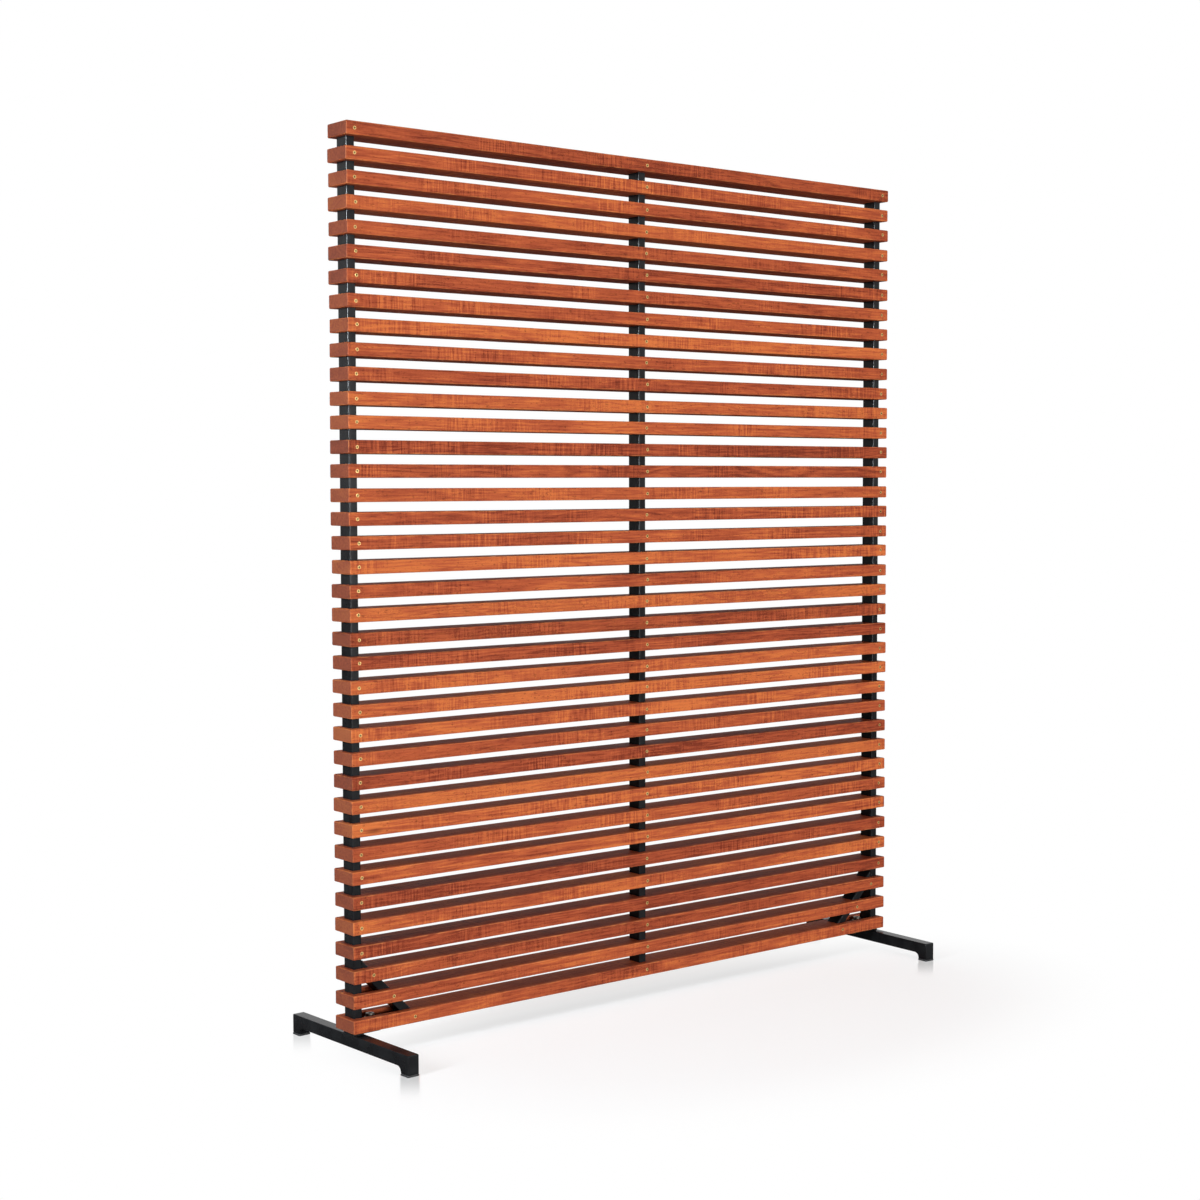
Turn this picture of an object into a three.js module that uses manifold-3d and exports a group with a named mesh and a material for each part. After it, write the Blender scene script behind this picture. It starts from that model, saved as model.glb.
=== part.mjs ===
// Free-standing garden privacy screen: hardwood slats threaded on a welded steel frame, on two steel feet.
// Millimetres. +X runs along the slats, +Y to the back, +Z up. The screws are on the front, which faces -Y.
// The origin is on the floor, under the middle of the screen.
import * as THREE from "three";
import { mergeVertices } from "three/addons/utils/BufferGeometryUtils.js";
import Module from "manifold-3d";

const wasm = await Module();
wasm.setup();

// Slats
const slatCount = 38;
const slatLength = 1524;
const slatDepth = 70;
const slatHeight = 27;
const slatEase = 2.5; // rounding of the slats' long edges and ends
const slatPitch = 47.2; // from one slat to the next
const lowGapCount = 6; // the lowest gaps are a little wider
const lowSlatPitch = 49.4;
const slotClearance = 0.5; // round the steel in a slat's slots

// Countersunk wood screws, one at each post
const screwHeadDiameter = 7.6;
const screwShankDiameter = 4;
const screwHeadDepth = 2.6;
const screwSides = 6;

// Welded frame of rectangular tube
const postWidth = 19;
const postDepth = 36;
const postInset = 21.3; // from a slat's end to the middle of the outer post
const tubeWall = 2;
const tubeCorner = 2.5;
const railHeight = 19;
const braceWidth = 19;
const braceReach = 159.5; // where the brace's middle line would meet the slats' end, above the frame's foot
const braceAngle = 45; // degrees
const capThickness = 2;
const capPlug = 12;
const capRecess = 2; // by which the caps lie below the top slat's upper face

// Feet
const footLength = 412;
const footWidth = 25.4;
const footHeight = 38;
const barHeight = 25.4;
const legLength = 25;
const footFillet = 12; // inside the corner of bar and leg
const footCorner = 2;
const footEase = 0.8;
const footToeIn = 1.5; // degrees that a foot's front end turns towards the middle
const plateThickness = 6;
const plateDepth = 36;
const plateCorner = 4;
const boltInset = 60; // from a slat's end to the bolt that holds the foot
const plateMargin = 16; // of plate past the bolt
const boltDiameter = 12;
const boltHeadDiameter = 18;
const boltHeadHeight = 7;
const boltHeadChamfer = 0.8;
const boltSocketWidth = 8;
const boltSocketDepth = 4;
const washerDiameter = 24;
const washerThickness = 1.6;
const glideThickness = 4;
const glideMargin = 0.7; // by which a glide stands proud of its leg
const glideStemDiameter = 7;
const glideStemHeight = 9;

const seat = 0.3; // between two pieces that touch
const boreClearance = 0.3; // round a bolt or a stem

// Worked out from the dimensions above
const frameFoot = glideThickness + seat + footHeight + seat + plateThickness + seat;
const railTop = frameFoot + railHeight;
const postX = slatLength / 2 - postInset;
const boltX = slatLength / 2 - boltInset;

// The height of a slat's underside. Slat 0 is the lowest.
function slatBase(index) {
  const lowGaps = Math.min(index, lowGapCount);
  return frameFoot + lowGaps * lowSlatPitch + (index - lowGaps) * slatPitch;
}

const screenTop = slatBase(slatCount - 1) + slatHeight;
const capTop = screenTop - capRecess;
const postTop = capTop - capThickness - seat;

// Materials
const woodDark = new THREE.Color(0x7a2c1a);
const woodLight = new THREE.Color(0xb0512c);

function wood(index) {
  const tone = 0.5 + 0.5 * Math.sin(index * 2.4);
  const color = woodDark.clone().lerp(woodLight, tone);
  return new THREE.MeshStandardMaterial({ color, roughness: 0.55, metalness: 0 });
}

function blackSteel() {
  return new THREE.MeshStandardMaterial({ color: 0x1c1e20, roughness: 0.4, metalness: 0.6 });
}

function blackPlastic() {
  return new THREE.MeshStandardMaterial({ color: 0x111111, roughness: 0.7, metalness: 0 });
}

function plainSteel() {
  return new THREE.MeshStandardMaterial({ color: 0x6f6a62, roughness: 0.35, metalness: 0.9 });
}

// Joining and cutting closed geometries
function solidFrom(geometry) {
  const bare = geometry.clone();
  bare.deleteAttribute("normal");
  bare.deleteAttribute("uv");
  const merged = mergeVertices(bare, 1e-3);
  return new wasm.Manifold(
    new wasm.Mesh({
      numProp: 3,
      vertProperties: new Float32Array(merged.attributes.position.array),
      triVerts: new Uint32Array(merged.index.array),
    }),
  );
}

function geometryFrom(solid) {
  const mesh = solid.getMesh();
  const geometry = new THREE.BufferGeometry();
  geometry.setAttribute("position", new THREE.BufferAttribute(mesh.vertProperties, 3));
  geometry.setIndex(new THREE.BufferAttribute(mesh.triVerts, 1));
  const flat = geometry.toNonIndexed();
  flat.computeVertexNormals();
  return flat;
}

function cut(geometry, cutters) {
  let solid = solidFrom(geometry);
  for (const cutter of cutters) {
    solid = solid.subtract(solidFrom(cutter));
  }
  return geometryFrom(solid);
}

function join(first, second) {
  return geometryFrom(solidFrom(first).add(solidFrom(second)));
}

function named(name, geometry, material) {
  const mesh = new THREE.Mesh(geometry, material);
  mesh.name = name;
  return mesh;
}

// Basic forms
function roundedRectangle(width, height, radius) {
  const shape = new THREE.Shape();
  const right = width / 2 - radius;
  const top = height / 2 - radius;
  shape.absarc(right, top, radius, 0, Math.PI / 2);
  shape.absarc(-right, top, radius, Math.PI / 2, Math.PI);
  shape.absarc(-right, -top, radius, Math.PI, Math.PI * 1.5);
  shape.absarc(right, -top, radius, Math.PI * 1.5, Math.PI * 2);
  return shape;
}

// A profile drawn across Y and up Z, run along X and centred on it, with its ends eased.
function alongX(shape, length, ease, curveSegments) {
  const geometry = new THREE.ExtrudeGeometry(shape, {
    depth: length - 2 * ease,
    curveSegments,
    bevelEnabled: ease > 0,
    bevelSegments: 1,
    bevelThickness: ease,
    bevelSize: ease,
    bevelOffset: -ease,
  });
  geometry.translate(0, 0, ease - length / 2);
  const axes = [new THREE.Vector3(0, 1, 0), new THREE.Vector3(0, 0, 1), new THREE.Vector3(1, 0, 0)];
  return geometry.applyMatrix4(new THREE.Matrix4().makeBasis(...axes));
}

// A profile drawn in X and Y, raised from Z 0.
function alongZ(shape, height, curveSegments) {
  return new THREE.ExtrudeGeometry(shape, { depth: height, curveSegments, bevelEnabled: false });
}

function box(lowX, highX, lowY, highY, lowZ, highZ) {
  const geometry = new THREE.BoxGeometry(highX - lowX, highY - lowY, highZ - lowZ);
  return geometry.translate((lowX + highX) / 2, (lowY + highY) / 2, (lowZ + highZ) / 2);
}

// A round bar or bore that stands on Z 0.
function rod(diameter, height, sides) {
  const geometry = new THREE.CylinderGeometry(diameter / 2, diameter / 2, height, sides);
  return geometry.rotateX(Math.PI / 2).translate(0, 0, height / 2);
}

function tubeProfile(width, height) {
  const shape = roundedRectangle(width, height, tubeCorner);
  const innerCorner = Math.max(tubeCorner - tubeWall, 0.4);
  shape.holes.push(roundedRectangle(width - 2 * tubeWall, height - 2 * tubeWall, innerCorner));
  return shape;
}

// How far from the slats' end the brace's middle line is, at a height above the frame's foot.
function braceMiddle(height) {
  return (braceReach - height) / Math.tan(THREE.MathUtils.degToRad(braceAngle));
}

const braceHalfSpan = braceWidth / 2 / Math.sin(THREE.MathUtils.degToRad(braceAngle));

// How far from its end a slat's outer screw sits: on the brace where that runs behind it, else on the post.
function outerScrewInset(index) {
  const middle = braceMiddle(slatBase(index) - frameFoot + slatHeight / 2);
  return Math.max(middle, postInset);
}

// How far from the slats' end the outer slots reach, at a height above the frame's foot: past the outer post,
// or past the brace where that stands further in.
function slotReach(height) {
  const aside = slotClearance / Math.sin(THREE.MathUtils.degToRad(braceAngle));
  const pastPost = postInset + postWidth / 2 + slotClearance;
  return Math.max(pastPost, braceMiddle(height) + braceHalfSpan + aside);
}

// The outlines of a slat's slots in X and Z, about its middle. There is one for each post, and the outer ones
// slope inboard with the brace.
function slotOutlines(index) {
  const above = slatHeight / 2 + 1; // a little past the slat's faces
  const height = slatBase(index) - frameFoot + slatHeight / 2;
  const half = postWidth / 2 + slotClearance;
  const outer = postX + half;
  const lower = slatLength / 2 - slotReach(height - above);
  const upper = slatLength / 2 - slotReach(height + above);
  return [
    [[-outer, -above], [-lower, -above], [-upper, above], [-outer, above]],
    [[-half, -above], [half, -above], [half, above], [-half, above]],
    [[lower, -above], [outer, -above], [outer, above], [upper, above]],
  ];
}

function slot(outline) {
  const halfDepth = postDepth / 2 + slotClearance;
  const shape = new THREE.Shape(outline.map(([x, z]) => new THREE.Vector2(x, z)));
  return alongZ(shape, 2 * halfDepth, 1).rotateX(Math.PI / 2).translate(0, halfDepth, 0);
}

// A countersunk hole from a slat's front face to its slot.
function screwHole(x) {
  const head = screwHeadDiameter / 2;
  const shank = screwShankDiameter / 2;
  const through = (slatDepth - postDepth) / 2 + 1;
  const profile = [
    new THREE.Vector2(0, -1),
    new THREE.Vector2(head, -1),
    new THREE.Vector2(head, 0),
    new THREE.Vector2(shank, screwHeadDepth),
    new THREE.Vector2(shank, through),
    new THREE.Vector2(0, through),
  ];
  return new THREE.LatheGeometry(profile, screwSides).translate(x, -slatDepth / 2, 0);
}

// The groove up the lowest slat's underside, over the rail.
function railGroove() {
  const halfDepth = postDepth / 2 + slotClearance;
  const roof = railHeight + slotClearance - slatHeight / 2;
  return box(-postX, postX, -halfDepth, halfDepth, -slatHeight, roof);
}

function slatGeometry(index) {
  const profile = roundedRectangle(slatDepth, slatHeight, slatEase);
  const cutters = slotOutlines(index).map(slot);
  if (index === 0) {
    cutters.push(railGroove());
  }
  const outer = slatLength / 2 - outerScrewInset(index);
  for (const x of [-outer, 0, outer]) {
    cutters.push(screwHole(x));
  }
  return cut(alongX(profile, slatLength, slatEase, 1), cutters);
}

// The slats are numbered from the top.
function makeSlats() {
  const group = new THREE.Group();
  for (let index = 0; index < slatCount; index += 1) {
    const number = String(slatCount - index).padStart(2, "0");
    const slat = named(`slat_${number}`, slatGeometry(index), wood(index));
    slat.position.z = slatBase(index) + slatHeight / 2;
    group.add(slat);
  }
  return group;
}

function makePost(name, x, foot) {
  const post = named(name, alongZ(tubeProfile(postWidth, postDepth), postTop - foot, 2), blackSteel());
  post.position.set(x, 0, foot);
  return post;
}

// A plug that closes a post's upper end, just below the top slat's upper face.
function makePostCap(name, x) {
  const top = alongZ(roundedRectangle(postWidth, postDepth, tubeCorner), capThickness, 2);
  const bore = tubeWall + boreClearance;
  const plug = box(
    bore - postWidth / 2,
    postWidth / 2 - bore,
    bore - postDepth / 2,
    postDepth / 2 - bore,
    -capPlug,
    capThickness / 2,
  );
  const cap = named(name, join(top, plug), blackPlastic());
  cap.position.set(x, 0, capTop - capThickness);
  return cap;
}

function makeRail() {
  const length = 2 * (postX - postWidth / 2 - seat);
  const bore = boltDiameter + 2 * boreClearance;
  const holes = [-boltX, boltX].map((x) => rod(bore, 2 * railHeight, 12).translate(x, 0, -railHeight));
  const rail = named(
    "bottom_rail",
    cut(alongX(tubeProfile(postDepth, railHeight), length, 0, 2), holes),
    blackSteel(),
  );
  rail.position.z = frameFoot + railHeight / 2;
  return rail;
}

// A diagonal tube in a bottom corner, cut off square with the post's side and the rail's top.
// side is -1 on the left and 1 on the right.
function makeBrace(name, side) {
  const slope = THREE.MathUtils.degToRad(braceAngle);
  const postFace = postInset + postWidth / 2 + seat;
  const upper = new THREE.Vector2(postFace, braceReach - postFace * Math.tan(slope));
  const lower = new THREE.Vector2(braceMiddle(railHeight + seat), railHeight + seat);
  const middle = upper.clone().add(lower).multiplyScalar(0.5);
  const blank = upper.distanceTo(lower) + 4 * braceWidth;
  const tube = alongX(tubeProfile(postDepth, braceWidth), blank, 0, 2);
  tube.rotateY(slope).translate(middle.x, 0, middle.y);
  const postSide = box(postFace - blank, postFace, -postDepth, postDepth, -blank, blank);
  const railSide = box(-blank, 2 * blank, -postDepth, postDepth, lower.y - blank, lower.y);
  const geometry = cut(tube, [postSide, railSide]);
  if (side > 0) {
    geometry.rotateZ(Math.PI);
  }
  const brace = named(name, geometry, blackSteel());
  brace.position.set((side * slatLength) / 2, 0, frameFoot);
  return brace;
}

function makeFrame() {
  const group = new THREE.Group();
  group.add(makePost("post_left", -postX, frameFoot));
  group.add(makePost("post_centre", 0, railTop + seat));
  group.add(makePost("post_right", postX, frameFoot));
  group.add(makePostCap("post_cap_left", -postX));
  group.add(makePostCap("post_cap_centre", 0));
  group.add(makePostCap("post_cap_right", postX));
  group.add(makeRail());
  group.add(makeBrace("brace_left", -1));
  group.add(makeBrace("brace_right", 1));
  return group;
}

// The foot's outline: a bar with a leg turned down at each end.
function footProfile() {
  const end = footLength / 2;
  const inner = end - legLength;
  const under = footHeight - barHeight;
  const fillet = Math.min(footFillet, under);
  const shape = new THREE.Shape();
  shape.moveTo(-end, 0);
  shape.lineTo(-inner, 0);
  shape.lineTo(-inner, under - fillet);
  shape.absarc(-inner + fillet, under - fillet, fillet, Math.PI, Math.PI / 2, true);
  shape.lineTo(inner - fillet, under);
  shape.absarc(inner - fillet, under - fillet, fillet, Math.PI / 2, 0, true);
  shape.lineTo(inner, 0);
  shape.lineTo(end, 0);
  shape.absarc(end - footCorner, footHeight - footCorner, footCorner, 0, Math.PI / 2);
  shape.absarc(-end + footCorner, footHeight - footCorner, footCorner, Math.PI / 2, Math.PI);
  return shape;
}

function footBarGeometry() {
  const bore = glideStemDiameter + 2 * boreClearance;
  const depth = glideStemHeight + seat;
  const legY = (footLength - legLength) / 2;
  const stemHoles = [-legY, legY].map((y) => rod(bore, 2 * depth, 10).translate(0, y, -depth));
  return cut(alongX(footProfile(), footWidth, footEase, 5), stemHoles);
}

// The flat plate on the foot bar. It runs inboard under the rail, to the bolt.
function footPlateGeometry(side) {
  const outboard = -footWidth / 2;
  const inboard = boltInset - postInset + plateMargin;
  const shape = roundedRectangle(inboard - outboard, plateDepth, plateCorner);
  const plate = alongZ(shape, plateThickness, 3).translate((inboard + outboard) / 2, 0, 0);
  if (side > 0) {
    plate.rotateZ(Math.PI);
  }
  return plate;
}

// A plastic pad under a leg, with a stem that goes up into it.
function glideGeometry() {
  const pad = alongZ(
    roundedRectangle(footWidth + 2 * glideMargin, legLength + 2 * glideMargin, footCorner),
    glideThickness,
    2,
  );
  return join(pad, rod(glideStemDiameter, glideThickness + glideStemHeight, 10));
}

// One foot: bar, plate and two glides, turned together about the post's middle line.
function makeFoot(sideName, side) {
  const group = new THREE.Group();
  const turn = THREE.MathUtils.degToRad(footToeIn) * side;
  const barBase = glideThickness + seat;
  const plateBase = barBase + footHeight + seat;

  const bar = named(`foot_bar_${sideName}`, footBarGeometry(), blackSteel());
  bar.position.z = barBase;
  group.add(bar);

  const boltPlace = new THREE.Vector3(-side * (boltInset - postInset), 0, 0);
  boltPlace.applyAxisAngle(new THREE.Vector3(0, 0, 1), turn);
  const bore = boltDiameter + 2 * boreClearance;
  const boltHole = rod(bore, 3 * plateThickness, 12).translate(boltPlace.x, boltPlace.y, -plateThickness);
  const plate = named(`foot_plate_${sideName}`, cut(footPlateGeometry(side), [boltHole]), blackSteel());
  plate.position.z = plateBase;
  group.add(plate);

  const legY = (footLength - legLength) / 2;
  for (const [end, y] of [["front", -legY], ["back", legY]]) {
    const glide = named(`glide_${sideName}_${end}`, glideGeometry(), blackPlastic());
    glide.position.y = y;
    group.add(glide);
  }
  group.position.x = side * postX;
  group.rotation.z = -turn;
  return group;
}

// The bolt that holds a foot: a low cylindrical head with a hexagonal socket, on a washer on the rail.
function makeFootBolt(sideName, side) {
  const group = new THREE.Group();
  const washerBase = railTop + seat;
  const headBase = washerBase + washerThickness + seat;
  const shankEnd = frameFoot - seat - plateThickness;
  const head = boltHeadDiameter / 2;
  const shank = boltDiameter / 2;
  const profile = [
    new THREE.Vector2(0, shankEnd - headBase),
    new THREE.Vector2(shank, shankEnd - headBase),
    new THREE.Vector2(shank, 0),
    new THREE.Vector2(head, 0),
    new THREE.Vector2(head, boltHeadHeight - boltHeadChamfer),
    new THREE.Vector2(head - boltHeadChamfer, boltHeadHeight),
    new THREE.Vector2(0, boltHeadHeight),
  ];
  const blank = new THREE.LatheGeometry(profile, 16).rotateX(Math.PI / 2);
  const acrossCorners = boltSocketWidth / Math.cos(Math.PI / 6);
  const socket = rod(acrossCorners, 2 * boltSocketDepth, 6).translate(0, 0, boltHeadHeight - boltSocketDepth);
  const bolt = named(`foot_bolt_${sideName}`, cut(blank, [socket]), plainSteel());
  bolt.position.z = headBase;
  group.add(bolt);

  const bore = shank + boreClearance;
  const ring = [
    new THREE.Vector2(bore, 0),
    new THREE.Vector2(washerDiameter / 2, 0),
    new THREE.Vector2(washerDiameter / 2, washerThickness),
    new THREE.Vector2(bore, washerThickness),
    new THREE.Vector2(bore, 0),
  ];
  const washerShape = new THREE.LatheGeometry(ring, 20).rotateX(Math.PI / 2);
  const washer = named(`foot_washer_${sideName}`, washerShape, plainSteel());
  washer.position.z = washerBase;
  group.add(washer);
  group.position.x = side * boltX;
  return group;
}

const screen = new THREE.Group();
screen.add(makeSlats());
screen.add(makeFrame());
for (const [sideName, side] of [["left", -1], ["right", 1]]) {
  screen.add(makeFoot(sideName, side));
  screen.add(makeFootBolt(sideName, side));
}

export default screen;
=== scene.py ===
import math
import random

import bmesh
import bpy
import numpy as np
from mathutils import Matrix, Quaternion, Vector


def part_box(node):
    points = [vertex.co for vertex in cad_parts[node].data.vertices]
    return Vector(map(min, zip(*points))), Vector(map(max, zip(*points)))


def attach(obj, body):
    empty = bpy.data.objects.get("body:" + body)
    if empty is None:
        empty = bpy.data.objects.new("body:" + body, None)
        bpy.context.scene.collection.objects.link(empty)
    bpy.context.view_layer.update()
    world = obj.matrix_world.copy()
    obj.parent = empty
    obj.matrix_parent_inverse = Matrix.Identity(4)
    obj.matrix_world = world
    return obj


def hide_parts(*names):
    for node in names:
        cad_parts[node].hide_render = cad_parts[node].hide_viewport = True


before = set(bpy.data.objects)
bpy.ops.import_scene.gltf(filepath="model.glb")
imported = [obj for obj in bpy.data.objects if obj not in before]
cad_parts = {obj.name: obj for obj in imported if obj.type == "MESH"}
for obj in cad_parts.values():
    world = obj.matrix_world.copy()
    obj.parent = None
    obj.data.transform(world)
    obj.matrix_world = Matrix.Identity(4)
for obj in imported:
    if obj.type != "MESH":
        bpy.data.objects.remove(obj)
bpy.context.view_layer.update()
mm = 0.001
print("frame loaded:", len(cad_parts), "nodes")

cameraSet = {
    "place": (-2.846, -3.376, 1.136),
    "yaw": 39.07,  # degrees to the right of straight on
    "pitch": -3.325,
    "roll": -0.12,
    "lens": 60.24,
    "sensor": 36.0,
}


def makeCamera():
    yaw, pitch = math.radians(cameraSet["yaw"]), math.radians(cameraSet["pitch"])
    ahead = Vector((math.sin(yaw) * math.cos(pitch), math.cos(yaw) * math.cos(pitch), math.sin(pitch)))
    lens = bpy.data.cameras.new("camera")
    lens.lens = cameraSet["lens"]
    lens.sensor_width = cameraSet["sensor"]
    camera = bpy.data.objects.new("camera", lens)
    camera.location = cameraSet["place"]
    camera.rotation_mode = "QUATERNION"
    roll = Quaternion((0, 0, 1), math.radians(cameraSet["roll"]))
    camera.rotation_quaternion = ahead.to_track_quat("-Z", "Y") @ roll
    bpy.context.scene.collection.objects.link(camera)
    bpy.context.scene.camera = camera


makeCamera()


# a node with its inputs given as values or as links from other nodes
def addNode(tree, kind, inputs=None, **settings):
    node = tree.nodes.new(kind)
    for name, value in settings.items():
        setattr(node, name, value)
    for key, value in (inputs or {}).items():
        if isinstance(value, bpy.types.NodeSocket):
            tree.links.new(value, node.inputs[key])
        else:
            node.inputs[key].default_value = value
    return node


def calc(tree, operation, *values):
    return addNode(tree, "ShaderNodeMath", dict(enumerate(values)), operation=operation).outputs[0]


def vector(tree, operation, *values):
    return addNode(tree, "ShaderNodeVectorMath", dict(enumerate(values)), operation=operation).outputs[0]


def remap(tree, value, low, high):
    inputs = {"Value": value, "From Min": low, "From Max": high}
    return addNode(tree, "ShaderNodeMapRange", inputs, interpolation_type="SMOOTHSTEP").outputs[0]


def noise(tree, place, scale, detail=2.0, roughness=0.5):
    inputs = {"Vector": vector(tree, "MULTIPLY", place, scale), "Scale": 1.0}
    inputs.update({"Detail": detail, "Roughness": roughness})
    return addNode(tree, "ShaderNodeTexNoise", inputs).outputs["Fac"]


def blendColour(tree, share, first, second):
    node = addNode(tree, "ShaderNodeMix", data_type="RGBA")
    sockets = {socket.identifier: socket for socket in node.inputs}
    for key, value in (("Factor_Float", share), ("A_Color", first), ("B_Color", second)):
        if isinstance(value, bpy.types.NodeSocket):
            tree.links.new(value, sockets[key])
        else:
            sockets[key].default_value = value
    return next(socket for socket in node.outputs if socket.identifier == "Result_Color")


def ramp(tree, value, *stops):
    node = addNode(tree, "ShaderNodeValToRGB", {0: value})
    elements = node.color_ramp.elements
    for element, (place, colour) in zip(elements, (stops[0], stops[-1])):
        element.position = place
        element.color = (*colour, 1.0)
    for place, colour in stops[1:-1]:
        elements.new(place).color = (*colour, 1.0)
    return node.outputs[0]


def newMaterial(name, **constants):
    material = bpy.data.materials.new(name)
    material.use_nodes = True
    shader = material.node_tree.nodes["Principled BSDF"]
    for key, value in constants.items():
        shader.inputs[key.replace("_", " ")].default_value = value
    return material, material.node_tree, shader


def addBump(tree, shader, height, strength, distance):
    bump = addNode(tree, "ShaderNodeBump", {"Height": height, "Strength": strength, "Distance": distance})
    tree.links.new(bump.outputs[0], shader.inputs["Normal"])


slatNodes = sorted(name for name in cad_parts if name.startswith("slat_"))
slatBoxes = [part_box(name) for name in slatNodes]
slatLow, slatHigh = slatBoxes[0]
slatSize = slatHigh - slatLow
slatMiddles = [(low + high) / 2 for low, high in slatBoxes]

# oiled hardwood: long grain, cross ripple left by the saw, pores, small knots and worn edges
woodSet = {
    "tones": (
        (0.30, (0.150, 0.026, 0.013)),
        (0.46, (0.290, 0.056, 0.024)),
        (0.60, (0.400, 0.086, 0.032)),
        (0.78, (0.560, 0.150, 0.042)),
    ),
    "pore": (0.060, 0.014, 0.008, 1.0),
    "worn": (0.700, 0.260, 0.085, 1.0),
    "endGrain": (0.230, 0.080, 0.052, 1.0),
    "ringsPerMetre": 210.0,
    "ringBend": 0.060,
    "heartAcross": 0.26,
    "heartAbove": (0.030, 0.120),  # least and most
    "ringShare": 0.40,
    "cloudShare": 0.42,
    "slowShare": 0.30,
    "fibreShare": 0.85,
    "boardShare": 0.30,
    "poreShare": 0.45,
    "speckShare": 0.50,
    "knotShare": 0.75,
    "wornShare": 0.50,
    "endShare": 0.50,
    "edgeWidth": 1.9 * mm,
    "edgeWander": 5 * mm,
}


# growth rings round a heart that lies off the board, bent along its length
def growthRings(tree, place, axes, board, chances):
    bend = calc(tree, "SUBTRACT", noise(tree, place, (2.2, 12, 12), 3.0), 0.5)
    bend = calc(tree, "MULTIPLY", bend, woodSet["ringBend"])
    least, most = woodSet["heartAbove"]
    heartY = calc(tree, "MULTIPLY", calc(tree, "SUBTRACT", chances[0], 0.5), woodSet["heartAcross"])
    heartZ = calc(tree, "MULTIPLY_ADD", chances[1], most - least, least)
    offY = calc(tree, "ADD", calc(tree, "SUBTRACT", axes["Y"], heartY), bend)
    offZ = calc(tree, "ADD", calc(tree, "SUBTRACT", axes["Z"], heartZ), bend)
    squared = calc(tree, "MULTIPLY_ADD", offY, offY, calc(tree, "MULTIPLY", offZ, offZ))
    ownStart = calc(tree, "MULTIPLY", board, 50.0)
    ringPlace = calc(tree, "MULTIPLY_ADD", calc(tree, "SQRT", squared), woodSet["ringsPerMetre"], ownStart)
    inputs = {"W": ringPlace, "Scale": 1.0, "Detail": 3.0, "Roughness": 0.6}
    return addNode(tree, "ShaderNodeTexNoise", inputs, noise_dimensions="1D").outputs["Fac"]


# pores, specks and now and then a knot
def darkMarks(tree, place):
    pores = remap(tree, noise(tree, place, (70, 900, 900), 2.0), 0.66, 0.74)
    specks = remap(tree, noise(tree, place, (130, 240, 280), 1.0), 0.64, 0.71)
    cellInputs = {"Vector": vector(tree, "MULTIPLY", place, (3.2, 9, 13)), "Scale": 1.0}
    cell = addNode(tree, "ShaderNodeTexVoronoi", cellInputs)
    cellChance = addNode(tree, "ShaderNodeSeparateColor", {0: cell.outputs["Color"]}).outputs[0]
    knots = remap(tree, cell.outputs["Distance"], 0.12, 0.03)
    knots = calc(tree, "MULTIPLY", knots, remap(tree, cellChance, 0.80, 0.84))
    dark = calc(tree, "MULTIPLY", pores, woodSet["poreShare"])
    dark = calc(tree, "MAXIMUM", dark, calc(tree, "MULTIPLY", specks, woodSet["speckShare"]))
    return calc(tree, "MAXIMUM", dark, calc(tree, "MULTIPLY", knots, woodSet["knotShare"]))


# wear, from how far a point is from the nearest edge of its board
def edgeWear(tree, place, axes):
    inX = calc(tree, "SUBTRACT", slatSize.x / 2, calc(tree, "ABSOLUTE", axes["X"]))
    inY = calc(tree, "SUBTRACT", slatSize.y / 2, calc(tree, "ABSOLUTE", axes["Y"]))
    inZ = calc(tree, "SUBTRACT", slatSize.z / 2, calc(tree, "ABSOLUTE", axes["Z"]))
    upper = calc(tree, "MINIMUM", calc(tree, "MAXIMUM", inX, inY), inZ)
    fromEdge = calc(tree, "MAXIMUM", calc(tree, "MINIMUM", inX, inY), upper)
    uneven = calc(tree, "SUBTRACT", noise(tree, place, (45, 60, 60), 3.0), 0.5)
    uneven = calc(tree, "MULTIPLY_ADD", uneven, woodSet["edgeWander"], fromEdge)
    return calc(tree, "MULTIPLY", remap(tree, uneven, woodSet["edgeWidth"], 0.0), woodSet["wornShare"])


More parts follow.
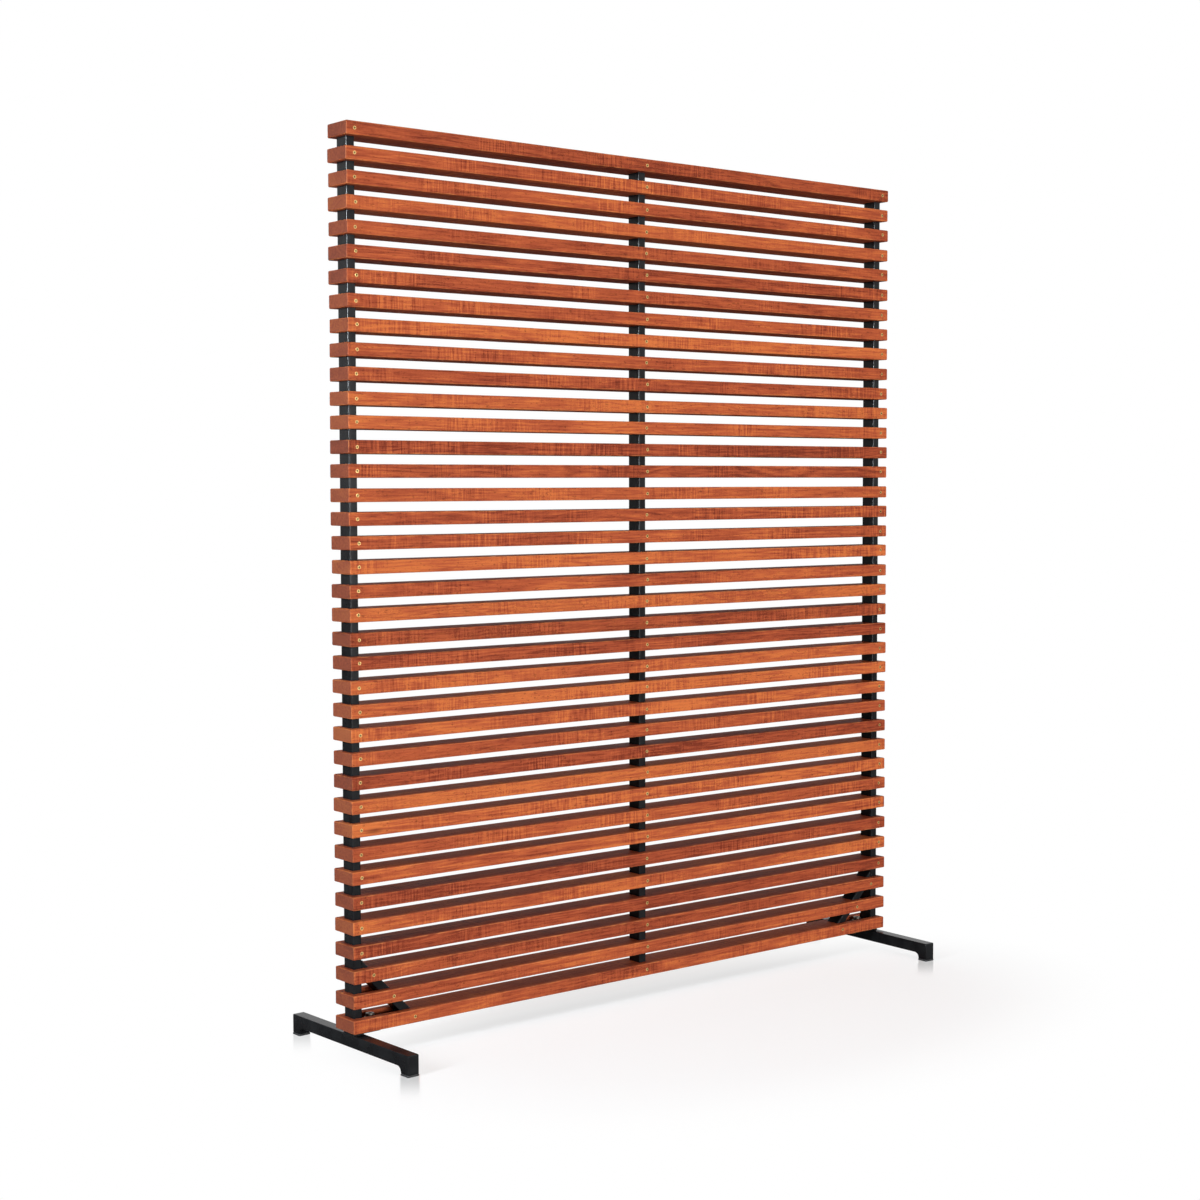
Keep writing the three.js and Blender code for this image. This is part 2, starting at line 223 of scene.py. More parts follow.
def makeWood():
    wood, tree, shader = newMaterial("slatWood", Specular_IOR_Level=0.03)
    local = addNode(tree, "ShaderNodeAttribute", attribute_name="onBoard").outputs["Vector"]
    board = addNode(tree, "ShaderNodeAttribute", attribute_name="board").outputs["Fac"]
    chance = addNode(tree, "ShaderNodeTexWhiteNoise", {"W": board}, noise_dimensions="1D").outputs["Color"]
    chances = addNode(tree, "ShaderNodeSeparateColor", {0: chance}).outputs
    place = vector(tree, "ADD", local, vector(tree, "MULTIPLY", chance, (8.0, 8.0, 8.0)))
    axes = addNode(tree, "ShaderNodeSeparateXYZ", {0: local}).outputs

    rings = growthRings(tree, place, axes, board, chances)
    fibre = noise(tree, place, (14, 260, 260), 4.0, 0.65)
    cloud = noise(tree, place, (7, 13, 20), 3.0, 0.55)
    slow = noise(tree, place, (2.4, 5, 5), 1.0)
    ripple = noise(tree, place, (260, 9, 16), 2.0, 0.6)
    rippleWhere = remap(tree, noise(tree, place, (6, 3, 3), 2.0), 0.42, 0.66)
    rippled = calc(tree, "MULTIPLY", calc(tree, "SUBTRACT", ripple, 0.5), rippleWhere)
    mixed = calc(tree, "MULTIPLY", rings, woodSet["ringShare"])
    mixed = calc(tree, "MULTIPLY_ADD", cloud, woodSet["cloudShare"], mixed)
    mixed = calc(tree, "MULTIPLY_ADD", slow, woodSet["slowShare"], mixed)
    mixed = calc(tree, "ADD", rippled, mixed)
    mixed = calc(tree, "MULTIPLY_ADD", calc(tree, "SUBTRACT", fibre, 0.5), woodSet["fibreShare"], mixed)
    mixed = calc(tree, "MULTIPLY_ADD", calc(tree, "SUBTRACT", chances[2], 0.5), woodSet["boardShare"], mixed)
    colour = ramp(tree, mixed, *woodSet["tones"])

    dark = darkMarks(tree, place)
    worn = edgeWear(tree, place, axes)
    normal = addNode(tree, "ShaderNodeNewGeometry").outputs["Normal"]
    facing = addNode(tree, "ShaderNodeSeparateXYZ", {0: normal}).outputs["X"]
    onEnd = remap(tree, calc(tree, "ABSOLUTE", facing), 0.85, 0.98)
    endShare = calc(tree, "MULTIPLY", onEnd, calc(tree, "MULTIPLY_ADD", worn, -0.5, woodSet["endShare"]))
    colour = blendColour(tree, dark, colour, woodSet["pore"])
    colour = blendColour(tree, worn, colour, woodSet["worn"])
    colour = blendColour(tree, endShare, colour, woodSet["endGrain"])
    tree.links.new(colour, shader.inputs["Base Color"])

    gloss = calc(tree, "MULTIPLY_ADD", dark, 0.20, calc(tree, "MULTIPLY_ADD", cloud, 0.22, 0.44))
    tree.links.new(calc(tree, "MULTIPLY_ADD", onEnd, 0.16, gloss), shader.inputs["Roughness"])
    relief = calc(tree, "MULTIPLY_ADD", fibre, 0.35, rippled)
    addBump(tree, shader, calc(tree, "MULTIPLY_ADD", dark, -0.7, relief), 0.35, 0.5 * mm)
    return wood


def makeBlackSteel():
    steel, tree, shader = newMaterial("blackSteel", Specular_IOR_Level=0.12)
    place = addNode(tree, "ShaderNodeTexCoord").outputs["Object"]
    patch = noise(tree, place, (28, 28, 28), 3.0)
    colour = ramp(tree, patch, (0.35, (0.008, 0.008, 0.009)), (0.70, (0.016, 0.017, 0.018)))
    tree.links.new(colour, shader.inputs["Base Color"])
    tree.links.new(calc(tree, "MULTIPLY_ADD", patch, 0.12, 0.15), shader.inputs["Roughness"])
    addBump(tree, shader, noise(tree, place, (900, 900, 900)), 0.10, 0.15 * mm)
    return steel


def makeBareMetal(name, light, dark, scale, roughness, metallic):
    metal, tree, shader = newMaterial(name, Metallic=metallic)
    place = addNode(tree, "ShaderNodeTexCoord").outputs["Object"]
    patch = noise(tree, place, (scale, scale, scale), 4.0, 0.6)
    fine = noise(tree, place, (scale * 9, scale * 9, scale * 9))
    # painted shade: the colour is darkened inside a screw's cross recess, where the recess falls into shadow
    paintedRecessShade = addNode(tree, "ShaderNodeAttribute", attribute_name="inDrive").outputs["Fac"]
    colour = ramp(tree, patch, (0.35, dark), (0.62, light))
    colour = blendColour(tree, calc(tree, "MULTIPLY", paintedRecessShade, 0.75), colour, (0.08, 0.035, 0.015, 1.0))
    tree.links.new(colour, shader.inputs["Base Color"])
    tree.links.new(calc(tree, "MULTIPLY_ADD", fine, 0.25, roughness), shader.inputs["Roughness"])
    addBump(tree, shader, fine, 0.12, 0.08 * mm)
    return metal


def makePlastic():
    plastic, tree, shader = newMaterial("blackPlastic", Specular_IOR_Level=0.4)
    place = addNode(tree, "ShaderNodeTexCoord").outputs["Object"]
    grain = noise(tree, place, (1500, 1500, 1500))
    colour = ramp(tree, grain, (0.4, (0.006, 0.006, 0.007)), (0.7, (0.016, 0.016, 0.017)))
    tree.links.new(colour, shader.inputs["Base Color"])
    tree.links.new(calc(tree, "MULTIPLY_ADD", grain, 0.2, 0.45), shader.inputs["Roughness"])
    addBump(tree, shader, grain, 0.15, 0.1 * mm)
    return plastic


slatWood = makeWood()
blackSteel = makeBlackSteel()
boltSteel = makeBareMetal("boltSteel", (0.20, 0.175, 0.15), (0.06, 0.05, 0.04), 160.0, 0.28, 1.0)
screwBrass = makeBareMetal("screwBrass", (0.84, 0.58, 0.20), (0.56, 0.34, 0.10), 420.0, 0.30, 0.5)
blackPlastic = makePlastic()
print("materials made")


# points round a rectangle with rounded corners
def rounded(width, depth, radius, steps=5):
    points = []
    for side, (u, v) in enumerate(((1, 1), (-1, 1), (-1, -1), (1, -1))):
        for step in range(steps + 1):
            turn = math.pi / 2 * (side + step / steps)
            u0, v0 = u * (width / 2 - radius), v * (depth / 2 - radius)
            points.append((u0 + radius * math.cos(turn), v0 + radius * math.sin(turn)))
    return points


def circle(radius, sides):
    turns = [2 * math.pi * step / sides for step in range(sides)]
    return [(radius * math.cos(turn), radius * math.sin(turn)) for turn in turns]


# the outline of a regular polygon, with as many points as a circle has
def polygon(acrossFlats, corners, sides):
    points = []
    for step in range(sides):
        turn = 2 * math.pi * step / sides
        within = (turn % (2 * math.pi / corners)) - math.pi / corners
        radius = acrossFlats / 2 / math.cos(within)
        points.append((radius * math.cos(turn), radius * math.sin(turn)))
    return points


def lift(points, z):
    return [Vector((x, y, z)) for x, y in points]


# skins a row of rings: capped at both ends, or closed on itself as a hollow tube is
def addSkin(mesh, rings, closed=False):
    rows = [[mesh.verts.new(point) for point in ring] for ring in rings]
    count = len(rows[0])
    for first, second in zip(rows, rows[1:] + (rows[:1] if closed else [])):
        for i in range(count):
            j = (i + 1) % count
            mesh.faces.new((first[i], first[j], second[j], second[i]))
    if not closed:
        mesh.faces.new(rows[0])
        mesh.faces.new(rows[-1])


def addBox(mesh, low, high):
    low, high = Vector(low), Vector(high)
    matrix = Matrix.Translation((low + high) / 2) @ Matrix.Diagonal((*(high - low), 1.0))
    bmesh.ops.create_cube(mesh, size=1.0, matrix=matrix)


def asPiece(name, mesh, material=None):
    bmesh.ops.recalc_face_normals(mesh, faces=mesh.faces)
    data = bpy.data.meshes.new(name)
    mesh.to_mesh(data)
    mesh.free()
    piece = bpy.data.objects.new(name, data)
    bpy.context.scene.collection.objects.link(piece)
    if material:
        data.materials.append(material)
    return piece


def skinned(name, rings, material=None, closed=False, matrix=None):
    mesh = bmesh.new()
    addSkin(mesh, rings, closed)
    if matrix:
        bmesh.ops.transform(mesh, matrix=matrix, verts=mesh.verts)
    return asPiece(name, mesh, material)


# the evaluated shape becomes the piece's own plain mesh
def bakeDown(piece):
    graph = bpy.context.evaluated_depsgraph_get()
    graph.update()
    made = bpy.data.meshes.new_from_object(
        piece.evaluated_get(graph), preserve_all_data_layers=True, depsgraph=graph
    )
    piece.modifiers.clear()
    piece.data = made
    return piece


def bevelled(piece, width, segments=3, angle=32.0):
    bevel = piece.modifiers.new("bevel", "BEVEL")
    bevel.width = width
    bevel.segments = segments
    bevel.limit_method = "ANGLE"
    bevel.angle_limit = math.radians(angle)
    return bakeDown(piece)


def cutBy(piece, cutter):
    cut = piece.modifiers.new("cut", "BOOLEAN")
    cut.operation = "DIFFERENCE"
    cut.solver = "EXACT"
    cut.object = cutter
    bakeDown(piece)
    bpy.data.objects.remove(cutter)


def evenShade(piece):
    piece.data.shade_smooth()
    piece.data.set_sharp_from_angle(angle=math.radians(40))
    weighted = piece.modifiers.new("weighted", "WEIGHTED_NORMAL")
    weighted.keep_sharp = True
    bakeDown(piece)


def settle(piece, body, slotName, *nodes):
    evenShade(piece)
    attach(piece, body)
    if nodes:
        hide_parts(*nodes)


def middle(node):
    low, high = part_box(node)
    return (low + high) / 2


# a geometry node tree with its named inputs
def newTree(name, sockets):
    tree = bpy.data.node_groups.new(name, "GeometryNodeTree")
    tree.interface.new_socket("Geometry", in_out="OUTPUT", socket_type="NodeSocketGeometry")
    tree.interface.new_socket("Geometry", in_out="INPUT", socket_type="NodeSocketGeometry")
    for label, kind in sockets.items():
        tree.interface.new_socket(label, in_out="INPUT", socket_type="NodeSocket" + kind)
    return tree, tree.nodes.new("NodeGroupInput").outputs


def endTree(tree, geometry, material):
    whole = addNode(tree, "GeometryNodeRealizeInstances", {"Geometry": geometry}).outputs[0]
    faced = addNode(tree, "GeometryNodeSetMaterial", {"Geometry": whole, "Material": material}).outputs[0]
    tree.links.new(faced, tree.nodes.new("NodeGroupOutput").inputs[0])


def randomIn(tree, low, high, seed, kind="FLOAT"):
    node = addNode(tree, "FunctionNodeRandomValue", data_type=kind)
    sockets = {socket.identifier: socket for socket in node.inputs}
    ending = "_001" if kind == "FLOAT" else ""
    for key, value in (("Min" + ending, low), ("Max" + ending, high), ("Seed", seed)):
        if isinstance(value, bpy.types.NodeSocket):
            tree.links.new(value, sockets[key])
        else:
            sockets[key].default_value = value
    return node.outputs[1 if kind == "FLOAT" else 0]


# runs a tree on some points or lines and keeps the result as a plain mesh
def grow(name, places, tree, values, edges=()):
    data = bpy.data.meshes.new(name)
    data.from_pydata([tuple(place) for place in places], list(edges), [])
    piece = bpy.data.objects.new(name, data)
    bpy.context.scene.collection.objects.link(piece)
    modifier = piece.modifiers.new("grow", "NODES")
    modifier.node_group = tree
    for item in tree.interface.items_tree:
        if item.in_out == "INPUT" and item.name in values:
            modifier[item.identifier] = values[item.name]
    return bakeDown(piece)


# the braces climb outward at 45 degrees; their middle line tells where slots and screws go
braceSet = {
    "width": 19 * mm,
}
braceHalfSpan = braceSet["width"] / 2 / math.sin(math.radians(45))
braceLow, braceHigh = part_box("brace_right")
postLow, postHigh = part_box("post_right")
postX = (postLow.x + postHigh.x) / 2


def braceLine(z):
    return braceHigh.x - (braceHigh.z - braceHalfSpan - z)


screwSet = {
    "headRadius": 3.75 * mm,
    "rim": 0.3 * mm,
    "shankRadius": 2.0 * mm,
    "headDepth": 2.4 * mm,
    "length": 16.5 * mm,
    "driveReach": 2.4 * mm,  # of the cross recess, from the middle
    "driveHalfWidth": 0.85 * mm,
    "driveDepth": 2.6 * mm,
    "driveTaper": 0.7,
    "sides": 16,
    "sink": 0.3 * mm,
    "lean": 2.5,  # degrees
    "wander": 1.4 * mm,
    "holeRadius": 3.95 * mm,
    "holeLength": 18 * mm,
    "shankEase": 0.1 * mm,
    "headEase": 0.3 * mm,
    "seed": 11,
}


def screwPlaces():
    rng = random.Random(screwSet["seed"])
    places = []
    for spot in slatMiddles:
        outer = min(postX, braceLine(spot.z))
        for x in (-outer, 0.0, outer):
            wanderX, wanderZ = (rng.uniform(-1, 1) * screwSet["wander"] for _ in range(2))
            places.append(Vector((x + wanderX, slatLow.y, spot.z + wanderZ)))
    return places


def onFront(place):
    return Matrix.Translation(place) @ Matrix.Rotation(math.radians(90), 4, "X")


slatSet = {
    "corner": 2.6 * mm,
    "verticesAlong": 28,
    "verticesAcross": 8,
    "endPlay": 2.4 * mm,
    "tilt": (0.35, 0.025, 0.03),  # degrees about each axis
    "lift": 0.35 * mm,
    "bow": 0.9 * mm,
    "slotClearance": 0.5 * mm,
    "cutReach": 8 * mm,
    "seed": 4,
}


# an opening from each outer post to its brace, one round the centre post and a groove over the rail
def addSlots(mesh):
    gap, reach = slatSet["slotClearance"], slatSet["cutReach"]
    frontY, backY = postLow.y - gap, postHigh.y + gap
    lowZ, topZ = slatBoxes[-1][0].z - reach, slatHigh.z + reach
    outerX, innerX = postHigh.x + gap, postLow.x - gap
    aside = braceHalfSpan + math.sqrt(2) * gap
    slope = [(innerX, innerX + aside - braceLine(0)), (braceLine(lowZ) - aside, lowZ)]
    outline = [(outerX, lowZ), (outerX, topZ), (innerX, topZ)] + slope
    for side in (-1, 1):
        addSkin(mesh, [[Vector((side * x, y, z)) for x, z in outline] for y in (frontY, backY)])
    half = (postHigh.x - postLow.x) / 2 + gap
    addBox(mesh, (-half, frontY, lowZ), (half, backY, topZ))
    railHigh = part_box("bottom_rail")[1]
    addBox(mesh, (-postX, frontY, lowZ), (postX, backY, railHigh.z + gap))


def addScrewHoles(mesh, places):
    hole, shank = screwSet["holeRadius"], screwSet["shankRadius"] + screwSet["shankEase"]
    depth = screwSet["headDepth"] + screwSet["headEase"]
    profile = ((hole, 1 * mm), (hole, 0.0), (shank, -depth), (shank, -screwSet["holeLength"]))
    for place in places:
        rings = [lift(circle(radius, screwSet["sides"]), z) for radius, z in profile]
        addSkin(mesh, [[onFront(place) @ point for point in ring] for ring in rings])


def makeSlatCutters(places):
    mesh = bmesh.new()
    addSlots(mesh)
    addScrewHoles(mesh, places)
    return asPiece("slatCutters", mesh)


def triple(tree, x, y, z):
    return addNode(tree, "ShaderNodeCombineXYZ", {0: x, 1: y, 2: z}).outputs[0]


# two rows of vertices on each side go round the corner, the rest spread over the face
def addBlank(tree, given):
    one = (1.0, 1.0, 1.0)
    size = triple(tree, given["Length"], given["Depth"], given["Height"])
    across, along = given["Vertices across"], given["Vertices along"]
    counts = {"Vertices X": along, "Vertices Y": across, "Vertices Z": across}
    cube = addNode(tree, "GeometryNodeMeshCube", {"Size": size, **counts}).outputs[0]
    half = vector(tree, "MULTIPLY", size, (0.5, 0.5, 0.5))
    corner = triple(tree, given["Corner"], given["Corner"], given["Corner"])
    inner = vector(tree, "SUBTRACT", half, corner)
    position = addNode(tree, "GeometryNodeInputPosition").outputs[0]
    share = vector(tree, "DIVIDE", vector(tree, "ABSOLUTE", position), half)
    begin = []
    for count in (along, across):
        rows = calc(tree, "DIVIDE", 4.0, calc(tree, "SUBTRACT", count, 1.0))
        begin.append(calc(tree, "SUBTRACT", 1.0, rows))
    start = triple(tree, begin[0], begin[1], begin[1])
    past = vector(tree, "SUBTRACT", share, start)
    past = vector(tree, "DIVIDE", past, vector(tree, "SUBTRACT", one, start))
    past = vector(tree, "MAXIMUM", past, (0.0, 0.0, 0.0))
    turned = vector(tree, "TANGENT", vector(tree, "MULTIPLY", past, (math.pi / 4,) * 3))
    within = vector(tree, "MINIMUM", vector(tree, "DIVIDE", share, start), one)
    flat = vector(tree, "MULTIPLY", inner, within)
    sign = vector(tree, "SIGN", position)
    ray = vector(tree, "NORMALIZE", vector(tree, "MULTIPLY", sign, turned))
    placed = vector(tree, "ADD", vector(tree, "MULTIPLY", sign, flat), vector(tree, "MULTIPLY", ray, corner))
    return addNode(tree, "GeometryNodeSetPosition", {"Geometry": cube, "Position": placed}).outputs[0]


# each slat is a touch short, shifted and tilted in its own way
def layBlanks(tree, given, blank):
    seeds = [calc(tree, "ADD", given["Seed"], float(step)) for step in range(5)]
    shortLeft = randomIn(tree, 0.0, given["End play"], seeds[0])
    shortRight = randomIn(tree, 0.0, given["End play"], seeds[1])
    shift = calc(tree, "MULTIPLY", calc(tree, "SUBTRACT", shortLeft, shortRight), 0.5)
    rise = randomIn(tree, calc(tree, "MULTIPLY", given["Lift"], -1.0), given["Lift"], seeds[2])
    moved = {"Geometry": given["Geometry"], "Offset": triple(tree, shift, 0.0, rise)}
    points = addNode(tree, "GeometryNodeSetPosition", moved).outputs[0]
    stored = {"Geometry": points, "Name": "own", "Value": randomIn(tree, 0.0, 90.0, seeds[3])}
    points = addNode(tree, "GeometryNodeStoreNamedAttribute", stored).outputs[0]
    shorter = calc(tree, "DIVIDE", calc(tree, "ADD", shortLeft, shortRight), given["Length"])
    scale = triple(tree, calc(tree, "SUBTRACT", 1.0, shorter), 1.0, 1.0)
    least = vector(tree, "MULTIPLY", given["Tilt"], (-1.0, -1.0, -1.0))
    tilt = randomIn(tree, least, given["Tilt"], seeds[4], "FLOAT_VECTOR")
    turn = addNode(tree, "FunctionNodeEulerToRotation", {0: tilt}).outputs[0]
    copies = {"Points": points, "Instance": blank, "Rotation": turn, "Scale": scale}
    instances = addNode(tree, "GeometryNodeInstanceOnPoints", copies).outputs[0]
    return addNode(tree, "GeometryNodeRealizeInstances", {"Geometry": instances}).outputs[0]


# a slow bow along each slat
def bowSlats(tree, given, slats):
    position = addNode(tree, "GeometryNodeInputPosition").outputs[0]
    along = addNode(tree, "ShaderNodeSeparateXYZ", {0: position}).outputs["X"]
    own = addNode(tree, "GeometryNodeInputNamedAttribute", {"Name": "own"}, data_type="FLOAT").outputs[0]
    spot = triple(tree, calc(tree, "MULTIPLY", along, 1.6), own, 0.0)
    wave = addNode(tree, "ShaderNodeTexNoise", {"Vector": spot, "Scale": 1.0, "Detail": 1.0}).outputs[0]
    sway = calc(tree, "MULTIPLY", calc(tree, "SUBTRACT", wave, 0.5), given["Bow"])
    offset = triple(tree, 0.0, calc(tree, "MULTIPLY", sway, 0.5), sway)
    return addNode(tree, "GeometryNodeSetPosition", {"Geometry": slats, "Offset": offset}).outputs[0]


def slatTree():
    sockets = {
        "Length": "Float", "Depth": "Float", "Height": "Float", "Corner": "Float",
        "Vertices along": "Int", "Vertices across": "Int", "End play": "Float", "Tilt": "Vector",
        "Lift": "Float", "Bow": "Float", "Cutters": "Object", "Seed": "Int", "Material": "Material",
    }
    tree, given = newTree("threadedSlats", sockets)
    slats = bowSlats(tree, given, layBlanks(tree, given, addBlank(tree, given)))
    cutters = addNode(tree, "GeometryNodeObjectInfo", {"Object": given["Cutters"]}).outputs["Geometry"]
    cut = addNode(tree, "GeometryNodeMeshBoolean", operation="DIFFERENCE", solver="EXACT")
    cut.inputs["Self Intersection"].default_value = True
    tree.links.new(slats, cut.inputs["Mesh 1"])
    tree.links.new(cutters, cut.inputs["Mesh 2"])
    endTree(tree, cut.outputs["Mesh"], given["Material"])
    return tree


# where each point is on its own slat, for the wood to follow
def markBoards(piece):
    rng = random.Random(slatSet["seed"])
    data = piece.data
    spots = np.zeros(len(data.vertices) * 3, np.float32)
    data.vertices.foreach_get("co", spots)
    spots = spots.reshape(-1, 3)
    heights = np.array([spot.z for spot in slatMiddles])
    which = np.abs(spots[:, 2:3] - heights[None, :]).argmin(1)
    local = spots.copy()
    local[:, 2] -= heights[which]
    chance = np.array([rng.uniform(0, 100) for _ in heights], np.float32)
    for index in range(len(heights)):
        rows = which == index
        low, high = local[rows, 0].min(), local[rows, 0].max()
        local[rows, 0] = (local[rows, 0] - (low + high) / 2) * (slatSize.x / (high - low))
    data.attributes.new("onBoard", "FLOAT_VECTOR", "POINT").data.foreach_set("vector", local.ravel())
    data.attributes.new("board", "FLOAT", "POINT").data.foreach_set("value", chance[which])


def makeSlats(places):
    cutters = makeSlatCutters(places)
    values = {
        "Length": slatSize.x, "Depth": slatSize.y, "Height": slatSize.z, "Corner": slatSet["corner"],
        "Vertices along": slatSet["verticesAlong"], "Vertices across": slatSet["verticesAcross"],
        "End play": slatSet["endPlay"], "Tilt": [math.radians(angle) for angle in slatSet["tilt"]],
        "Lift": slatSet["lift"], "Bow": slatSet["bow"], "Cutters": cutters, "Seed": slatSet["seed"],
        "Material": slatWood,
    }
    slats = grow("slats", slatMiddles, slatTree(), values)
    bpy.data.objects.remove(cutters)
    markBoards(slats)
    settle(slats, "panel", "slat_wood", *slatNodes)
    print("slats made:", len(slats.data.polygons), "faces")


# a countersunk head with a cross recess, on a plain shank
def makeOneScrew():
    sides, reach, half = screwSet["sides"], screwSet["driveReach"], screwSet["driveHalfWidth"]
    recess = []
    for step in range(sides):
        turn = 2 * math.pi * step / sides
        aside = min(abs(math.sin(turn)), abs(math.cos(turn)))
        radius = min(reach, half / max(aside, 1e-6))
        recess.append((radius * math.cos(turn), radius * math.sin(turn)))
    head, rim, shank = screwSet["headRadius"], screwSet["rim"], screwSet["shankRadius"]
    taper = screwSet["driveTaper"]
    rings = [
        lift(circle(shank, sides), -screwSet["length"]),
        lift(circle(shank, sides), -screwSet["headDepth"]),
        lift(circle(head, sides), -rim),
        lift(circle(head - rim, sides), 0.0),
        lift(recess, 0.0),
        lift([(taper * x, taper * y) for x, y in recess], -screwSet["driveDepth"]),
    ]
    screw = skinned("oneScrew", rings, matrix=Matrix.Rotation(math.radians(90), 4, "X"))
    # marks the cross recess, where the metal's colour is darkened as painted shade
    inDrive = [ring >= len(rings) - 2 for ring in range(len(rings)) for _ in range(sides)]
    screw.data.attributes.new("inDrive", "FLOAT", "POINT").data.foreach_set("value", inDrive)
    return screw


def screwTree():
    sockets = {"Screw": "Object", "Sink": "Float", "Lean": "Float", "Seed": "Int", "Material": "Material"}
    tree, given = newTree("drivenScrews", sockets)
    sunk = {"Geometry": given["Geometry"], "Offset": triple(tree, 0.0, given["Sink"], 0.0)}
    points = addNode(tree, "GeometryNodeSetPosition", sunk).outputs[0]
    lean = given["Lean"]
    least = calc(tree, "MULTIPLY", lean, -1.0)
    low, high = triple(tree, least, 0.0, least), triple(tree, lean, math.pi / 2, lean)
    angles = randomIn(tree, low, high, given["Seed"], "FLOAT_VECTOR")
    turn = addNode(tree, "FunctionNodeEulerToRotation", {0: angles}).outputs[0]
    screw = addNode(tree, "GeometryNodeObjectInfo", {"Object": given["Screw"]}).outputs["Geometry"]
    copies = {"Points": points, "Instance": screw, "Rotation": turn}
    endTree(tree, addNode(tree, "GeometryNodeInstanceOnPoints", copies).outputs[0], given["Material"])
    return tree


def makeScrews(places):
    screw = makeOneScrew()
    values = {
        "Screw": screw, "Sink": screwSet["sink"], "Lean": math.radians(screwSet["lean"]),
        "Seed": screwSet["seed"], "Material": screwBrass,
    }
    screws = grow("screws", places, screwTree(), values)
    bpy.data.objects.remove(screw)
    settle(screws, "panel", "screw_brass")
    print("screws made:", len(places))


screwSpots = screwPlaces()
makeSlats(screwSpots)
makeScrews(screwSpots)

tubeSet = {
    "corner": 2.5 * mm,
    "wall": 2 * mm,
    "innerCorner": 0.8 * mm,
    "steps": 5,
}


# outer and inner outlines of a tube
def tubeOutlines(width, depth):
    wall = tubeSet["wall"]
    outer = rounded(width, depth, tubeSet["corner"], tubeSet["steps"])
    inside = rounded(width - 2 * wall, depth - 2 * wall, tubeSet["innerCorner"], tubeSet["steps"])
    return outer, inside


def makePost(side):
    low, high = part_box("post_" + side)
    centre = (low + high) / 2
    outer, inside = tubeOutlines(high.x - low.x, high.y - low.y)
    rings = [lift(outer, low.z), lift(outer, high.z), lift(inside, high.z), lift(inside, low.z)]
    matrix = Matrix.Translation((centre.x, centre.y, 0))
    post = skinned(f"post_{side}_tube", rings, blackSteel, closed=True, matrix=matrix)
    settle(post, "panel", "frame_steel", "post_" + side)


boltSet = {
    "holeRadius": 6.3 * mm,
    "drillPast": 5 * mm,
    "shankRadius": 6 * mm,
    "headRadius": 9 * mm,
    "headHeight": 7 * mm,
    "chamfer": 0.9 * mm,
    "socketWidth": 8 * mm,
    "socketDepth": 4 * mm,
    "washerEase": 0.3 * mm,
    "sides": 48,
}


# the hole for a foot's bolt, through a piece between two heights
def drillForBolt(piece, side, lowZ, highZ):
    bolt, past = middle("foot_bolt_" + side), boltSet["drillPast"]
    ring = circle(boltSet["holeRadius"], 32)
    rings = [lift(ring, lowZ - past), lift(ring, highZ + past)]
    cutBy(piece, skinned("boltHole", rings, matrix=Matrix.Translation((bolt.x, bolt.y, 0))))


def makeRail():
    low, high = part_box("bottom_rail")
    centre = (low + high) / 2
    outer, inside = tubeOutlines(high.y - low.y, high.z - low.z)
    half = (high.x - low.x) / 2
    rings = [lift(outer, -half), lift(outer, half), lift(inside, half), lift(inside, -half)]
    axes = Matrix(((0, 0, 1, 0), (1, 0, 0, 0), (0, 1, 0, 0), (0, 0, 0, 1)))
    matrix = Matrix.Translation(centre) @ axes
    rail = skinned("bottom_rail_tube", rings, blackSteel, closed=True, matrix=matrix)
    for side in ("left", "right"):
        drillForBolt(rail, side, low.z, high.z)
    settle(rail, "panel", "frame_steel", "bottom_rail")


# each line of the tube runs from the rail's top up to the post's side
def makeBrace(side, sign):
    low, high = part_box("brace_" + side)
    outer, inside = tubeOutlines(braceSet["width"], high.y - low.y)
    slope = 1 / math.sqrt(2)
    faceX = high.x if sign > 0 else -low.x
    start = Vector((faceX, 0, high.z - braceHalfSpan))
    rings = []
    for outline, atPost in ((outer, False), (outer, True), (inside, True), (inside, False)):
        ring = []
        for u, y in outline:
            point = start + Vector((-u * slope, y, u * slope))
            run = faceX - point.x if atPost else low.z - point.z
            point += Vector((run, 0, run))
            ring.append(Vector((sign * point.x, point.y, point.z)))
        rings.append(ring)
    brace = skinned(f"brace_{side}_tube", rings, blackSteel, closed=True)
    settle(brace, "panel", "frame_steel", "brace_" + side)


capSet = {
    "wall": 2.3 * mm,
    "corner": 2.5 * mm,
    "crown": 0.5 * mm,
}


# a plug with a slightly crowned top
def makePostCap(side):
    low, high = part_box("post_cap_" + side)
    size, centre = high - low, (low + high) / 2
    topZ, lipZ = high.z, high.z - 2 * mm
    wall, corner, crown = capSet["wall"], capSet["corner"], capSet["crown"]
    levels = [
        (2 * wall + 1.2 * mm, 0.8 * mm, low.z),
        (2 * wall, 0.8 * mm, low.z + 1.5 * mm),
        (2 * wall, 0.8 * mm, lipZ),
        (0.0, corner, lipZ),
        (0.0, corner, topZ - 2 * crown),
        (0.5 * mm, corner - 0.2 * mm, topZ - crown),
        (1.6 * mm, corner - 0.8 * mm, topZ - crown / 3),
        (6 * mm, 0.8 * mm, topZ),
    ]
    rings = [lift(rounded(size.x - inset, size.y - inset, radius), z) for inset, radius, z in levels]
    matrix = Matrix.Translation((centre.x, centre.y, 0))
    cap = skinned(f"post_cap_{side}_plug", rings, blackPlastic, matrix=matrix)
    settle(cap, "panel", "black_plastic", "post_cap_" + side)


for side in ("left", "centre", "right"):
    makePost(side)
    makePostCap(side)
makeRail()
makeBrace("left", -1)
makeBrace("right", 1)
print("frame made")


